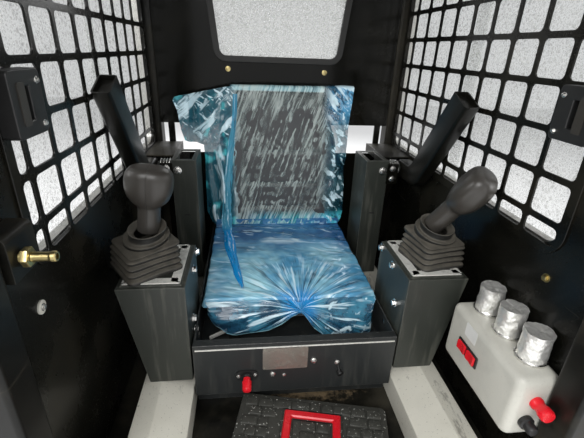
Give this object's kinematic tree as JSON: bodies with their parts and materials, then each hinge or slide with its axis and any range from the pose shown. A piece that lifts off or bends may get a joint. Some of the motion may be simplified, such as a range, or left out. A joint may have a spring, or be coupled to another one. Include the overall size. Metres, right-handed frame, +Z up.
{
  "type": "skid steer loader operator cab",
  "caption": "Open-fronted steel operator cab of a skid steer loader, with mesh-screened side windows, sliding seat under blue film, control pods and swinging lap bars.",
  "frame": {"origin": "on the ground line, below the middle of the cab's shell", "axes": "+X to the operator's left, -Y forward, the way the operator faces, +Z up"},
  "size_m": [0.94, 1.09, 1.34],
  "materials": {
    "black_paint": "semi-gloss black paint",
    "graphite_paint": "satin dark graphite powder coat",
    "cream_paint": "satin pale grey-cream paint, scuffed",
    "clear_glass": "clear glass with water drops outside",
    "black_rubber": "matt black rubber",
    "dark_plastic": "matt dark grey-brown grip",
    "grey_plastic": "satin light grey moulding",
    "red_plastic": "bright red moulding",
    "foil": "crumpled bright foil",
    "brass": "bright machined brass",
    "black_leatherette": "black leatherette",
    "blue_film": "thin blue polythene film, creased"
  },
  "bodies": {
    "cab": {"left_front_post": "black_paint", "right_front_post": "black_paint", "left_rear_post": "black_paint", "right_rear_post": "black_paint", "left_side_panel": "black_paint", "right_side_panel": "black_paint", "left_screen": "black_paint", "right_screen": "black_paint", "left_rear_pane": "clear_glass", "right_rear_pane": "clear_glass", "left_front_pane": "clear_glass", "right_front_pane": "clear_glass", "left_ledge": "cream_paint", "right_ledge": "cream_paint", "left_pod": "graphite_paint", "right_pod": "graphite_paint", "left_boot": "black_rubber", "right_boot": "black_rubber", "left_lever": "dark_plastic", "right_lever": "dark_plastic", "left_tower": "graphite_paint", "right_tower": "graphite_paint", "left_shelf": "black_paint", "right_shelf": "black_paint", "roof_frame": "black_paint", "roof_panel": "black_paint", "base_frame": "black_paint", "floor_plate": "black_paint", "rear_panel": "black_paint", "rear_glass": "clear_glass", "rear_seal": "black_rubber", "rear_lower_panel": "black_paint", "seat_base": "graphite_paint", "seat_rails": "black_paint", "switch_box": "grey_plastic", "foil_caps": "foil", "rocker_switches": "red_plastic", "box_knobs": "red_plastic", "release_knob": "red_plastic", "floor_pad": "black_rubber", "pad_handle": "red_plastic", "left_latch_box": "dark_plastic", "right_latch_box": "dark_plastic", "stud_bracket": "black_paint", "brass_stud": "brass"},
    "left_bar": {"left_lap_bar": "black_paint"},
    "right_bar": {"right_lap_bar": "black_paint"},
    "seat": {"seat_pan": "black_paint", "seat_cushion": "black_leatherette", "seat_backrest": "black_leatherette", "seat_film": "blue_film"}
  },
  "joints": [
    {"name": "left_lap_bar_hinge", "type": "hinge", "parent": "cab", "child": "left_bar", "pos_m": [0.404, 0.256, 0.512], "axis": [1, 0, 0], "range_deg": [-32, 42]},
    {"name": "right_lap_bar_hinge", "type": "hinge", "parent": "cab", "child": "right_bar", "pos_m": [-0.404, 0.256, 0.512], "axis": [1, 0, 0], "range_deg": [-32, 42]},
    {"name": "seat_slide", "type": "slide", "parent": "cab", "child": "seat", "axis": [0, 1, 0], "range_m": [-0.11, 0]}
  ]
}
